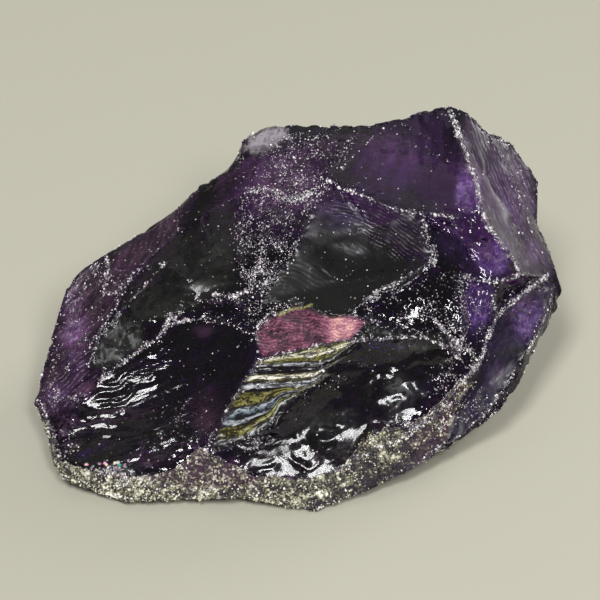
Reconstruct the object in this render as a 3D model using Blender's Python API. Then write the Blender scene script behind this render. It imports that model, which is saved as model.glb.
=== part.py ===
"""Rough amethyst: one glassy chunk broken on all sides, resting on a small flat face.

The stone is modelled from its ridges. Each ridge point is given by where it shows in one oblique
view and by its height above the resting plane. Between the ridges lie the scars: shallow dishes
that the breaks left, with a control point at the bottom of each large one. The ridges stay sharp
when the cage is subdivided, and the dishes become smooth.
"""

import math

import bmesh
import bpy
from mathutils import Vector

# Sizes of the stone in metres
STONE_WIDTH = 0.026
VIEW_DISTANCE = 0.130
VIEW_AIM_HEIGHT = 0.0045

# The oblique view that places the ridges, in degrees and in view units
VIEW_ELEVATION = 40.0
VIEW_CENTRE = 300.0
VIEW_STONE_WIDTH = 528.0

MM = 0.001
SUBDIVISION_LEVELS = 2

# Ridge points that show in the view: across, down, and height above the resting plane in mm
SEEN_RIDGES = {
    "left": [(34, 404, 1.7), (41, 376, 2.3), (52, 335, 3.4), (66, 290, 4.8), (77, 272, 5.3)],
    "top": [
        (106, 254, 5.8), (141, 233, 6.4), (174, 211, 7.0), (199, 186, 7.8), (221, 175, 8.1),
        (238, 158, 8.6), (243, 140, 9.1), (260, 127, 9.6), (286, 125, 9.8), (327, 125, 9.9),
        (365, 126, 10.1), (399, 119, 10.5), (424, 110, 10.9),
    ],
    "peak": [(449, 106, 11.3)],
    "right": [
        (468, 113, 11.0), (489, 134, 10.2), (503, 136, 9.6), (521, 152, 8.9), (538, 182, 7.8),
        (537, 224, 6.7), (548, 246, 6.0), (555, 268, 5.3), (562, 290, 4.5), (556, 311, 4.0),
        (534, 351, 3.3), (518, 386, 2.6), (500, 410, 2.1), (479, 427, 1.6),
    ],
    "front": [
        (449, 447, 1.2), (430, 459, 1.0), (405, 473, 0.8), (377, 486, 0.5), (341, 501, 0.3),
        (316, 511, 0.1), (289, 507, 0.3), (266, 501, 0.5), (234, 499, 0.6), (199, 499, 0.5),
        (163, 501, 0.4), (124, 502, 0.3), (91, 490, 0.5), (63, 479, 0.8), (53, 462, 1.0),
        (45, 429, 1.4),
    ],
    "main": [
        (456, 130, 11.1), (470, 165, 10.7), (480, 200, 10.1), (492, 232, 9.3), (508, 253, 8.4),
        (520, 275, 7.3),
    ],
    "brow": [
        (358, 138, 10.1), (352, 152, 10.1), (332, 177, 10.1), (348, 190, 10.1), (366, 197, 10.0),
        (392, 208, 9.9), (421, 212, 9.8), (440, 215, 9.8), (458, 218, 9.9),
    ],
    "shelf": [(405, 165, 9.5)],
    "bowl": [
        (426, 240, 9.2), (433, 263, 8.6), (408, 284, 8.0), (385, 291, 7.8), (364, 301, 7.4),
        (343, 316, 7.0), (325, 313, 7.1), (302, 305, 7.1), (258, 304, 7.0), (266, 289, 7.4),
        (289, 259, 8.2), (300, 236, 8.8), (316, 205, 9.6),
    ],
    "hollow": [(342, 258, 7.5), (388, 262, 7.8)],
    "sill": [(500, 281, 7.0), (478, 280, 7.1), (461, 270, 7.7)],
    "rib": [(499, 152, 9.9), (515, 178, 9.2), (523, 208, 8.2), (521, 243, 7.4)],
    "spur": [
        (546, 277, 5.3), (530, 288, 5.7), (514, 301, 5.8), (497, 317, 5.4), (487, 342, 4.7),
        (478, 362, 4.1), (467, 378, 3.7), (455, 400, 2.9), (441, 430, 1.8),
    ],
    "bevel": [(543, 312, 4.7), (529, 347, 4.0), (508, 385, 3.0), (483, 416, 2.1)],
    "lip": [
        (354, 341, 6.2), (380, 339, 6.2), (402, 337, 6.1), (424, 337, 5.9), (442, 345, 5.4),
        (460, 358, 4.8),
    ],
    "nub": [(429, 382, 3.8), (447, 371, 4.2), (426, 404, 3.0)],
    "rim": [
        (66, 463, 1.3), (95, 472, 1.3), (140, 478, 1.2), (175, 472, 1.4), (205, 456, 1.9),
        (240, 472, 1.5), (275, 481, 1.1), (310, 481, 1.0), (342, 468, 1.3), (362, 445, 1.8),
        (385, 432, 2.1), (415, 426, 2.3),
    ],
    "step": [
        (340, 352, 5.9), (318, 363, 5.4), (326, 373, 5.1), (308, 384, 4.7), (300, 393, 4.6),
        (283, 406, 4.1), (277, 420, 3.6), (255, 437, 3.0), (235, 443, 2.6),
    ],
    "keel": [(212, 434, 2.6), (229, 407, 3.5), (243, 383, 4.3), (258, 361, 5.1), (254, 333, 6.0)],
    "pane": [(266, 319, 6.6), (283, 310, 6.9), (300, 350, 5.8), (335, 341, 6.2), (368, 322, 6.9)],
    "cove": [(99, 381, 3.2), (76, 406, 2.5), (68, 436, 1.8)],
    "crest": [(160, 336, 4.9), (168, 325, 5.4), (192, 319, 5.8), (225, 322, 6.0)],
    "dip": [(135, 404, 2.4), (200, 376, 3.8)],
    "lens": [(88, 366, 3.4), (141, 321, 5.5), (146, 346, 4.6), (126, 360, 4.0), (104, 372, 3.5)],
    "side": [
        (58, 375, 2.9), (80, 350, 3.8), (101, 334, 4.7), (121, 310, 5.5), (135, 272, 6.4),
        (152, 253, 6.8), (179, 227, 7.3),
    ],
    "chip": [(106, 270, 5.9), (102, 292, 5.5), (120, 289, 5.8)],
    "notch": [(46, 415, 1.8)],
    "wave": [
        (172, 313, 5.9), (195, 301, 6.4), (225, 298, 6.8), (165, 261, 7.0), (186, 280, 7.0),
        (210, 255, 7.5), (203, 214, 7.9), (226, 200, 8.3),
    ],
    "sugar": [
        (250, 190, 8.8), (262, 226, 8.4), (258, 262, 7.8), (246, 286, 7.3), (278, 197, 9.2),
        (306, 196, 9.6),
    ],
    "pale": [(262, 152, 9.4), (288, 138, 9.8)],
    "speck": [(425, 300, 7.2), (435, 322, 6.5), (450, 338, 5.8), (463, 305, 6.8), (462, 338, 5.7)],
    "pool": [(335, 390, 4.0), (390, 396, 3.5), (320, 437, 2.2)],
}

# Ridge points on the far side, in mm: right, back, up
HIDDEN_RIDGES = {
    "back": [
        (12.3, 3.6, 3.2), (11.5, 7.0, 4.2), (7.8, 9.0, 4.6), (2.5, 9.6, 5.2), (-3.2, 8.6, 4.8),
        (-8.4, 4.9, 3.6), (-11.8, 0.2, 2.4),
    ],
    "base": [
        (-10.4, -7.5, 0.0), (-8.0, -9.1, 0.0), (-4.5, -9.1, 0.0), (-1.2, -9.2, 0.0),
        (0.8, -9.7, 0.0), (3.0, -8.6, 0.0), (6.2, -6.0, 0.0), (8.8, -3.4, 0.0), (10.4, 0.2, 0.0),
        (10.2, 3.8, 0.0), (7.0, 6.6, 0.0), (1.5, 7.4, 0.0), (-3.6, 6.0, 0.0), (-8.2, 2.4, 0.0),
        (-11.0, -2.2, 0.0), (-11.6, -5.4, 0.0),
    ],
}

# Scars: how deep the dish is in mm, and the ridge points round it. A span such as main1..3 names
# main1, main2 and main3. A scar with no depth has no control point of its own.
SCARS = {
    "crown_upper": (0.25, "top11..13 peak1 main1..2 shelf1 brow2..1"),
    "crown_lower": (0.35, "main2..3 brow9..2 shelf1"),
    "bowl_upper": (0.45, "brow3..7 bowl1..2 hollow2..1 bowl12..13"),
    "bowl_lower": (0.35, "bowl2..12 hollow1..2"),
    "violet_face": (0.55, "brow7..9 main3..6 sill1..3 bowl2..1"),
    "shoulder": (0.3, "peak1 right1..2 rib1..4 main5..1"),
    "far_lobe": (0.25, "right2..6 rib3..1"),
    "far_facet": (None, "rib3 right6..7 rib4"),
    "pale_facet": (0.15, "rib4 right7..8 spur1 main6..5"),
    "right_facet_upper": (0.2, "spur1 bevel1..2 spur5..2"),
    "right_facet_lower": (0.3, "spur5 bevel2..4 front1..2 spur9..6"),
    "right_bevel_1": (None, "spur1 right8..10 bevel1"),
    "right_bevel_2": (None, "bevel1 right10..11 bevel2"),
    "right_bevel_3": (None, "bevel2 right11..12 bevel3"),
    "right_bevel_4": (None, "bevel3 right12..14 bevel4"),
    "right_bevel_5": (None, "bevel4 right14 front1"),
    "pit": (0.6, "sill1 main6 spur1..4"),
    "speckled_face": (0.3, "bowl6..3 speck1..2 lip4..1 pane5"),
    "speckled_sliver": (None, "speck2..3 lip6..4"),
    "speckled_middle": (0.2, "bowl3..2 sill3 speck4..5 lip6 speck3..1"),
    "violet_foot": (0.35, "sill3..1 spur4..7 nub2 lip6 speck5..4"),
    "crumb": (None, "nub1..2 spur7..8 nub3"),
    "scoop_upper": (0.45, "lip1..6 nub2..1 nub3 pool2..1 step3..1"),
    "scoop_right": (0.2, "nub3 rim12..9 pool3 pool1..2"),
    "scoop_left": (0.35, "step3 pool1 pool3 rim9..6 step9..4"),
    "step_1": (None, "keel4 pane3..4 lip1 step1..2"),
    "step_2": (None, "keel4 step2..4 keel3"),
    "step_3": (None, "keel3 step4..6 keel2"),
    "step_4": (None, "keel2 step6..9 keel1"),
    "step_5": (None, "keel1 step9 rim6..5"),
    "window": (0.15, "keel4..5 pane1..2 bowl8..6 pane5 lip1 pane4..3"),
    "cove_upper": (0.45, "lens5..3 crest1..4 keel5..3 dip2..1 cove2..1"),
    "cove_lower": (0.3, "cove2..3 rim1..5 keel1..3 dip2..1"),
    "lens_face": (0.3, "lens1 side3..4 lens2..5"),
    "lens_tail": (None, "lens2 wave1 crest2..1 lens3"),
    "left_shelf": (0.2, "left1 side1..3 lens1 lens5 cove1..2 notch1"),
    "left_foot": (None, "left1 notch1 cove2..3 rim1 front15..16"),
    "dark_band": (0.25, "crest2..4 keel5 pane1..2 bowl8..9 wave3..1"),
    "wave_low": (0.3, "side4..5 wave4..5 wave2..1 lens2"),
    "wave_mid": (0.3, "side5..7 wave7..6 wave5..4"),
    "wave_top": (None, "side7 top4..5 wave8..7"),
    "wave_dark": (0.35, "wave7..8 sugar1..3 wave6"),
    "wave_streak": (0.25, "wave6 sugar3..4 bowl9 wave3..2 wave5"),
    "sugar_left": (None, "top5..7 pale1 sugar1 wave8"),
    "pale_lump": (-0.35, "top7..9 pale2..1"),
    "sugar_top": (0.2, "pale1..2 top9..10 brow3 sugar6..5 sugar1"),
    "sugar_right": (None, "top10..11 brow1..3"),
    "sugar_mid": (0.2, "sugar1 sugar5..6 brow3 bowl13..12 sugar2"),
    "sugar_low": (0.2, "sugar2 bowl12..9 sugar4..3"),
    "left_side": (0.3, "left1..5 top1 chip1..2 side3..1"),
    "left_chip": (None, "top1..2 side6..5 chip3..1"),
    "left_chip_foot": (None, "chip2..3 side5..3"),
    "left_crest": (None, "top2..4 side7..6"),
    "rim_1": (None, "front15 rim1..2 front13..14"),
    "rim_2": (None, "front13 rim2..3 front12"),
    "rim_3": (None, "front12 rim3..4 front11"),
    "rim_4": (None, "front11 rim4..5 front10"),
    "rim_5": (None, "front10 rim5..6 front9"),
    "rim_6": (None, "front9 rim6..7 front8"),
    "rim_7": (None, "front8 rim7..8 front6..7"),
    "rim_8": (None, "front6 rim8..9 front5"),
    "rim_9": (None, "front5 rim9..10 front4"),
    "rim_10": (None, "front4 rim10..11 front3"),
    "rim_11": (None, "front3 rim11..12 spur9 front2"),
    "rim_12": (None, "rim12 nub3 spur8..9"),
    "under_1": (None, "left1 front16..15 base1 base16"),
    "under_2": (None, "front15..13 base2..1"),
    "under_3": (None, "front13..11 base3..2"),
    "under_4": (None, "front11..9 base4..3"),
    "under_5": (None, "front9..6 base5..4"),
    "under_6": (None, "front6..4 base6..5"),
    "under_7": (None, "front4..1 base7..6"),
    "under_8": (None, "front1 right14..13 base8..7"),
    "under_9": (None, "right13..11 base9..8"),
    "under_10": (None, "right11..9 back1 base10..9"),
    "back_right": (0.3, "right9..5 back2..1"),
    "back_shoulder": (0.35, "right5..1 back3..2"),
    "back_peak": (0.3, "right1 peak1 top13..12 back4..3"),
    "back_brow": (None, "top12..10 back4"),
    "back_middle": (0.3, "top10..7 back5..4"),
    "back_notch": (None, "top7..4 back5"),
    "back_left": (None, "top4..2 back6..5"),
    "back_side": (None, "top2..1 left5..4 back7..6"),
    "back_tip": (None, "left4..1 back7"),
    "foot_1": (None, "back1..2 base11..10"),
    "foot_2": (None, "back2..3 base11"),
    "foot_3": (None, "back3..4 base12..11"),
    "foot_4": (None, "back4..5 base13..12"),
    "foot_5": (None, "back5..6 base14..13"),
    "foot_6": (None, "back6..7 base15..14"),
    "foot_7": (None, "back7 left1 base16..15"),
    "resting_face": (None, "base1..16"),
}

# Lines inside a scar, which stay smooth
SOFT_EDGES = [
    "brow2 shelf1 main2", "bowl12 hollow1..2 bowl2", "brow9 main3", "spur5 bevel2",
    "step3 pool1..2 nub3", "pool1 pool3 rim9", "cove2 dip1..2 keel3", "nub2 lip6",
]

# Looks of the bare solid
VIOLET = (0.07, 0.025, 0.13, 1.0)
GLOSS_ROUGHNESS = 0.12


def remove_objects():
    """Empties the scene."""
    for obj in list(bpy.data.objects):
        bpy.data.objects.remove(obj)


def placed(across, down, height):
    """The world point that shows at a place in the view and lies at a height in mm."""
    tilt = math.radians(VIEW_ELEVATION)
    forward = Vector((0.0, math.cos(tilt), -math.sin(tilt)))
    upward = Vector((0.0, math.sin(tilt), math.cos(tilt)))
    eye = Vector((0.0, 0.0, VIEW_AIM_HEIGHT)) - forward * VIEW_DISTANCE
    unit = STONE_WIDTH / VIEW_STONE_WIDTH / VIEW_DISTANCE
    ray = forward + Vector((1.0, 0.0, 0.0)) * ((across - VIEW_CENTRE) * unit)
    ray += upward * ((VIEW_CENTRE - down) * unit)
    return eye + ray * ((height * MM - eye.z) / ray.z)


def ridge_points():
    """Every ridge point by name, in metres: the ridge's name and a number from 1."""
    points = {}
    for ridge, places in SEEN_RIDGES.items():
        for number, place in enumerate(places, 1):
            points[f"{ridge}{number}"] = placed(*place)
    for ridge, places in HIDDEN_RIDGES.items():
        for number, place in enumerate(places, 1):
            points[f"{ridge}{number}"] = Vector(place) * MM
    return points


def span(words):
    """The point names in a string, with each span such as main1..3 written out."""
    names = []
    for word in words.split():
        if ".." not in word:
            names.append(word)
            continue
        first, last = word.split("..")
        ridge = first.rstrip("0123456789")
        start = int(first[len(ridge):])
        end = int(last)
        way = 1 if end >= start else -1
        names.extend(f"{ridge}{number}" for number in range(start, end + way, way))
    return names


def soft_pairs():
    """The pairs of neighbouring points that no ridge joins."""
    pairs = set()
    for words in SOFT_EDGES:
        names = span(words)
        pairs.update(frozenset(pair) for pair in zip(names, names[1:]))
    return pairs


def build_cage():
    """The ridge cage as a mesh, with a dish bottom in each scar that has a depth."""
    cage = bmesh.new()
    crease = cage.edges.layers.float.new("crease_edge")
    corners = {name: cage.verts.new(point) for name, point in ridge_points().items()}
    soft = soft_pairs()
    middle = sum((corner.co for corner in corners.values()), Vector()) / len(corners)
    for depth, words in SCARS.values():
        names = span(words)
        face = cage.faces.new([corners[name] for name in names])
        for pair in zip(names, names[1:] + names[:1]):
            edge = cage.edges.get([corners[name] for name in pair])
            edge[crease] = 0.0 if frozenset(pair) in soft else 1.0
        if depth is None:
            continue
        face.normal_update()
        outward = face.normal if face.normal.dot(face.calc_center_median() - middle) > 0 else -face.normal
        inward = outward * (-depth * MM)
        bottom = bmesh.ops.poke(cage, faces=[face])["verts"][0]
        bottom.co += inward
    bmesh.ops.recalc_face_normals(cage, faces=cage.faces[:])
    return cage


def centred_on_base(cage):
    """Moves the cage so that the middle of its box lies over the origin, on the resting plane."""
    lows = [min(vert.co[axis] for vert in cage.verts) for axis in range(3)]
    highs = [max(vert.co[axis] for vert in cage.verts) for axis in range(3)]
    shift = Vector((-(lows[0] + highs[0]) / 2, -(lows[1] + highs[1]) / 2, -lows[2]))
    bmesh.ops.translate(cage, vec=shift, verts=cage.verts[:])


def amethyst_material():
    """Dark violet glassy quartz."""
    material = bpy.data.materials.new("violet_quartz")
    material.use_nodes = True
    shader = material.node_tree.nodes["Principled BSDF"]
    shader.inputs["Base Color"].default_value = VIOLET
    shader.inputs["Roughness"].default_value = GLOSS_ROUGHNESS
    shader.inputs["Metallic"].default_value = 0.0
    return material


def build_amethyst():
    """The stone as one object, its ridges sharp and its scars smooth."""
    cage = build_cage()
    centred_on_base(cage)
    mesh = bpy.data.meshes.new("amethyst")
    cage.to_mesh(mesh)
    cage.free()
    stone = bpy.data.objects.new("amethyst", mesh)
    bpy.context.scene.collection.objects.link(stone)
    mesh.shade_smooth()
    rounding = stone.modifiers.new("scars", "SUBSURF")
    rounding.levels = SUBDIVISION_LEVELS
    rounding.render_levels = SUBDIVISION_LEVELS
    mesh.materials.append(amethyst_material())
    return stone


remove_objects()
build_amethyst()
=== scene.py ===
"""Rough amethyst: a glassy violet chunk with chipped ridges, rippled scars and a sugary rim."""

import math

import bmesh
import bpy
import numpy as np
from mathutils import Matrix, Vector, kdtree, noise


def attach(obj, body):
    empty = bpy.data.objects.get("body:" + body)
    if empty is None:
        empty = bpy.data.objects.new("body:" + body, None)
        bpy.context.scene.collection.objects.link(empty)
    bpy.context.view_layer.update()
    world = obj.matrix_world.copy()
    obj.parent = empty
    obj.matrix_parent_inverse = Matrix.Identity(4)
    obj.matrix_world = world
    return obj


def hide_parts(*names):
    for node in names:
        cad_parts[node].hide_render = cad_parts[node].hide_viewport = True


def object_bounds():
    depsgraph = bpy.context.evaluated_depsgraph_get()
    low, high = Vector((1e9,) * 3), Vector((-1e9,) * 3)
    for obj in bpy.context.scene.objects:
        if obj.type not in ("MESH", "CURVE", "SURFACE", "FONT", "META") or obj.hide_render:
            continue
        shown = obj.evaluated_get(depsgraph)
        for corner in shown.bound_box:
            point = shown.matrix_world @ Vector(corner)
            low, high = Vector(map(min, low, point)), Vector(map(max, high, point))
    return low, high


bl_info = {
    "name": "Rough amethyst",
    "version": (1, 0, 0),
    "blender": (4, 5, 0),
    "location": "View3D > Sidebar > Amethyst",
    "description": "Dresses a rough amethyst: glassy scars, chipped ridges and a sugary rim",
    "category": "Object",
}

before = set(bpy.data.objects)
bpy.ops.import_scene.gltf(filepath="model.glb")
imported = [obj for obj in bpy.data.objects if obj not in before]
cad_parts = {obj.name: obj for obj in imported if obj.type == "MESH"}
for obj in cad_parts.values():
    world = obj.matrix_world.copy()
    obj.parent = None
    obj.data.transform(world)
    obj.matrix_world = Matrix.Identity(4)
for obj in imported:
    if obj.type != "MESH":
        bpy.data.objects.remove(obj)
CAD_LOW, CAD_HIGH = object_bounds()

MM = 0.001
BODY = "root"
NODE = "amethyst"

# The oblique view that places the markings: the real width of one of its units, of which the
# stone spans 528, its middle and width in units, where it aims, how far away it stands and how high
VIEW_UNIT = 0.026 / 528
VIEW_CENTRE = 300.0
VIEW_WIDTH = 600
VIEW_AIM = Vector((-0.0000148, 0.0003459, 0.0045))
VIEW_DISTANCE = 0.130
VIEW_ELEVATION = math.radians(40.0)
SENSOR_WIDTH = 36.0

TURN = 2.0 * math.pi
QUARTZ_REFRACTION = 1.544

# An edge of the solid is a ridge if it is at least this sharp, and is sampled this often
RIDGE_ANGLE = math.radians(13.0)
RIDGE_SAMPLE = 0.06 * MM

# The finished surface is smooth across an edge that is blunter than this
SHARP_ANGLE = math.radians(38.0)

# How far chips lie from a ridge, and how deep a crumb sinks in, as a share of its size
CHIP_REACH = 0.14 * MM
CRUMB_SINK = 0.15

# Rows of painted light and dark in the rose window: how far apart they are in the view
WINDOW_ROWS = 3.4

# Across the view: where the rim's crust grows dim, and where it turns plum
DIM_SPAN = (190.0, 440.0)
PLUM_SPAN = (395.0, 430.0)

# The crust of the far side fades out between these heights
FAR_CRUST = (0.9 * MM, 1.9 * MM)

# Regions of the stone as outlines in the view: across and down
REGIONS = {
    "rim": [
        (45, 425), (60, 463), (95, 473), (140, 479), (175, 470), (200, 448), (214, 455), (250, 476),
        (310, 481), (345, 466), (362, 444), (385, 431), (415, 425), (440, 404), (462, 380),
        (470, 384), (456, 408), (444, 445), (413, 469), (377, 486), (341, 501), (316, 512),
        (270, 503), (199, 501), (124, 503), (91, 491), (60, 480), (42, 430),
    ],
    "window": [
        (256, 334), (262, 322), (281, 312), (300, 306), (332, 318), (352, 315), (368, 322),
        (350, 339), (335, 342), (300, 350), (261, 357),
    ],
    "steps": [
        (360, 341), (346, 355), (330, 366), (322, 369), (330, 376), (312, 388), (301, 397),
        (286, 409), (279, 424), (262, 434), (238, 446), (210, 454), (228, 408), (244, 384),
        (258, 361), (300, 350), (335, 341),
    ],
    "sugar": [
        (239, 158), (262, 152), (290, 132), (325, 128), (360, 134), (352, 152), (332, 178),
        (318, 205), (300, 238), (288, 262), (266, 290), (246, 288), (236, 262), (232, 222),
        (246, 190),
    ],
    "pale": [(243, 150), (250, 135), (262, 126), (281, 124), (288, 135), (264, 152)],
    "speckled": [
        (385, 291), (433, 262), (462, 268), (470, 300), (466, 345), (440, 338), (400, 333),
        (368, 322), (364, 302),
    ],
    "dim_rim": [
        (300, 512), (330, 496), (352, 484), (374, 472), (400, 460), (424, 450), (436, 436),
        (446, 440), (444, 452), (413, 474), (377, 492), (341, 506), (316, 516),
    ],
    "plum": [
        (140, 464), (166, 458), (184, 446), (202, 434), (216, 438), (236, 456), (266, 474),
        (262, 488), (225, 486), (190, 486), (160, 482), (138, 474),
    ],
    "foot": [(440, 338), (466, 345), (480, 350), (470, 378), (448, 372), (430, 380), (460, 360)],
    "bowl": [
        (345, 188), (421, 213), (433, 262), (408, 284), (364, 300), (344, 314), (325, 312),
        (258, 303), (290, 260), (316, 206),
    ],
    "bowl_fan": [(345, 188), (421, 213), (430, 262), (395, 262), (345, 222), (325, 210)],
    "side": [
        (36, 404), (52, 335), (66, 290), (78, 273), (141, 233), (199, 186), (180, 228), (135, 272),
        (100, 335), (60, 374),
    ],
    "crown": [
        (365, 128), (424, 112), (449, 108), (470, 165), (480, 200), (458, 217), (421, 211),
        (366, 195), (348, 188), (352, 152),
    ],
    "violet": [
        (458, 217), (480, 200), (492, 232), (520, 275), (500, 282), (497, 318), (487, 342),
        (466, 340), (462, 270), (440, 250), (428, 216),
    ],
    "shoulder": [
        (466, 112), (489, 134), (521, 152), (538, 182), (537, 224), (548, 246), (556, 276),
        (524, 274), (508, 250), (486, 226), (476, 196), (458, 140),
    ],
    "cove": [
        (99, 381), (126, 360), (160, 336), (192, 319), (225, 322), (254, 333), (243, 383),
        (212, 434), (140, 478), (66, 463), (68, 436),
    ],
    "scoop": [
        (354, 341), (402, 337), (442, 345), (460, 358), (429, 382), (426, 404), (385, 432),
        (345, 466), (310, 481), (240, 472), (235, 443), (277, 420), (308, 384),
    ],
    "flank": [
        (545, 277), (560, 285), (545, 320), (520, 365), (500, 400), (470, 440), (446, 446),
        (456, 408), (470, 384), (484, 355), (488, 340), (497, 317), (515, 300),
    ],
    "terrace": [
        (141, 321), (121, 302), (150, 262), (185, 232), (236, 200), (240, 262), (244, 288),
        (225, 300), (190, 314), (168, 322),
    ],
    "shelf": [(34, 404), (58, 375), (100, 335), (88, 366), (100, 378), (76, 406), (46, 415)],
}

# Painted grey reflections: how pale (0 to 1), how thick, and their outline in the view
PAINTED_REFLECTIONS = [
    (0.06, 0.92, [
        (290, 262), (306, 240), (322, 222), (345, 210), (374, 222), (404, 258), (408, 284),
        (364, 300), (344, 314), (325, 312), (258, 303),
    ]),
    (0.55, 0.90, [
        (90, 366), (101, 336), (121, 312), (140, 322), (145, 345), (126, 358), (104, 370),
    ]),
    (0.17, 0.85, [
        (141, 321), (121, 302), (150, 262), (185, 232), (236, 200), (236, 262), (244, 286),
        (225, 298), (190, 310), (168, 320),
    ]),
    (0.62, 0.60, [(176, 286), (196, 281), (226, 284), (212, 291), (190, 292)]),
    (0.50, 0.50, [(196, 262), (212, 246), (232, 236), (228, 250), (212, 262)]),
    (0.01, 0.95, [(497, 286), (514, 284), (508, 293), (502, 300)]),
    (0.10, 0.95, [(66, 454), (78, 440), (104, 428), (122, 430), (104, 448), (84, 464), (70, 464)]),
    (0.03, 0.80, [
        (244, 300), (262, 303), (300, 303), (330, 310), (344, 314), (332, 318), (254, 322),
    ]),
    (0.04, 0.42, REGIONS["cove"]),
    (0.05, 0.40, REGIONS["scoop"]),
    (0.10, 0.15, [
        (470, 116), (489, 134), (521, 152), (538, 182), (537, 224), (548, 244), (523, 243),
        (494, 230), (482, 200), (462, 142),
    ]),
    (0.30, 0.55, [(286, 412), (316, 404), (352, 412), (362, 430), (330, 440), (288, 426)]),
    (0.66, 0.45, [(386, 380), (404, 374), (414, 386), (412, 404), (398, 418), (386, 412)]),
    (0.80, 0.45, [(392, 343), (424, 342), (430, 350), (400, 352)]),
    (0.08, 0.30, [(340, 222), (366, 196), (400, 206), (424, 232), (424, 258), (396, 250)]),
    (0.45, 0.28, [(262, 200), (290, 206), (322, 214), (316, 232), (286, 226), (262, 218)]),
    (0.22, 0.26, [(292, 252), (318, 236), (350, 220), (356, 226), (322, 246), (298, 262)]),
    (0.00, 0.85, [
        (450, 416), (466, 392), (480, 376), (500, 378), (508, 384), (498, 402), (474, 434),
        (448, 446),
    ]),
    (0.00, 0.45, [(484, 362), (500, 352), (530, 346), (518, 372), (500, 400), (470, 396)]),
    (0.46, 0.50, [(368, 322), (404, 331), (440, 336), (452, 344), (402, 338), (356, 341)]),
    (0.42, 0.45, [(366, 128), (352, 150), (330, 178), (345, 190), (352, 168), (368, 144)]),
]

# Ripples that spread over a scar: region, middle of the rings in the view, pitch and height of
# the broad ones in mm, pitch of the fine ones in mm, their strength and how bright their painted
# crest highlights are
RIPPLES = [
    ("bowl_fan", (305, 375), 0.44, 0.010, 0.170, 1.0, 0.50),
    ("bowl", (250, 380), 0.80, 0.004, 0.235, 0.50, 0.15),
    ("cove", (40, 110), 0.56, 0.034, 0.24, 0.8, 0.12),
    ("terrace", (390, 608), 0.90, 0.020, 0.36, 0.6, 0.20),
    ("crown", (300, 150), 0.85, 0.024, 0.34, 0.75, 0.12),
    ("violet", (330, 300), 0.95, 0.030, 0.33, 0.6, 0.25),
    ("shoulder", (1320, -160), 0.45, 0.016, 0.15, 0.85, 0.70),
    ("window", (300, 130), 0.36, 0.006, 0.17, 0.6, 0.0),
    ("scoop", (250, 250), 1.30, 0.035, 0.40, 0.25, 0.05),
    ("side", (-40, 180), 0.70, 0.025, 0.24, 0.8, 0.45),
    ("shelf", (250, 560), 0.50, 0.020, 0.19, 1.0, 0.7),
    ("flank", (640, 420), 0.90, 0.008, 0.32, 0.5, 0.2),
]

# The far side, which the view doesn't show: the middle of its rings, the pitch of its broad
# and fine ones and the height of the broad ones
FAR_RINGS = np.array([-0.003, 0.017, 0.012])
FAR_PITCH = 1.25 * MM
FAR_FINE_PITCH = 0.31 * MM
FAR_HEIGHT = 0.014 * MM

# Violet places painted brighter, standing for light shining through thin parts: middle in the view,
# reach across and down, and strength
LIT_VIOLET_SPOTS = [
    ((468, 190), (20, 34), 0.85), ((494, 256), (24, 26), 1.0), ((478, 305), (22, 34), 0.9),
    ((528, 318), (28, 36), 0.6), ((500, 372), (24, 24), 0.35), ((385, 215), (34, 20), 0.3),
    ((400, 160), (50, 34), 0.18), ((512, 190), (36, 66), 0.22), ((534, 258), (24, 24), 0.4),
    ((74, 335), (22, 62), 0.75), ((58, 396), (24, 22), 0.45), ((350, 212), (50, 32), 0.4),
    ((285, 190), (62, 60), 0.35),
]

# Reddish spots: middle in the view, reach across and down, and strength
WINE_SPOTS = [
    ((206, 412), (24, 40), 1.0), ((204, 331), (16, 10), 0.9), ((84, 388), (22, 14), 1.0),
    ((150, 458), (40, 14), 0.6), ((240, 462), (24, 10), 0.6), ((384, 424), (16, 10), 0.5),
    ((285, 188), (66, 66), 0.75), ((395, 150), (60, 34), 0.5), ((520, 300), (24, 40), 0.3),
]

# Speckled spots: middle in the view, reach across and down, and strength
GRAIN_SPOTS = [
    ((178, 430), (50, 48), 0.55), ((255, 448), (46, 18), 0.7), ((330, 380), (44, 12), 0.5),
    ((70, 440), (22, 30), 0.8), ((405, 425), (34, 18), 0.6), ((445, 385), (24, 20), 0.9),
    ((172, 315), (12, 12), 1.0), ((125, 285), (30, 22), 0.5), ((262, 318), (26, 30), 0.7),
    ((60, 396), (30, 16), 0.95), ((478, 318), (24, 40), 0.5), ((425, 230), (10, 40), 0.6),
    ((225, 300), (40, 12), 0.5), ((520, 180), (20, 50), 0.4), ((472, 406), (30, 34), 0.75),
]

# A satin spot on the shoulder: middle in the view, reach across and down, and strength
SATIN_SPOTS = [((534, 258), (26, 26), 1.0)]

# Painted rainbow glints on the rim's pale lump: middle in the view, reach across and down, and
# strength
RAINBOW_GLINT_SPOTS = [
    ((88, 466), (5, 5), 1.0), ((98, 467), (7, 6), 0.9), ((107, 464), (6, 5), 1.0),
    ((117, 464), (7, 6), 1.0), ((126, 463), (6, 5), 1.0), ((120, 475), (9, 5), 0.6),
]

# Where the painted light of the rose window is brightest: middle in the view, reach across and down
GLOW = (341, 326), (26, 24)

# An olive thread along the window's upper edge, a painted reflection
THREAD = [(279, 315), (286, 311), (294, 308), (304, 307), (311, 305)]

# The stacked steps: the upper edge of the stack and the lower edge of each step in the view
STEP_EDGES = [
    [(240, 360), (256, 359), (290, 351), (320, 345), (335, 342), (356, 339)],
    [(240, 367), (258, 366), (300, 364), (318, 365), (330, 361), (345, 350), (357, 341)],
    [(235, 388), (262, 386), (290, 386), (308, 384), (315, 380), (325, 373), (340, 364)],
    [
        (225, 446), (240, 442), (252, 435), (264, 427), (273, 420), (280, 405), (300, 393),
        (330, 375),
    ],
]

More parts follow.
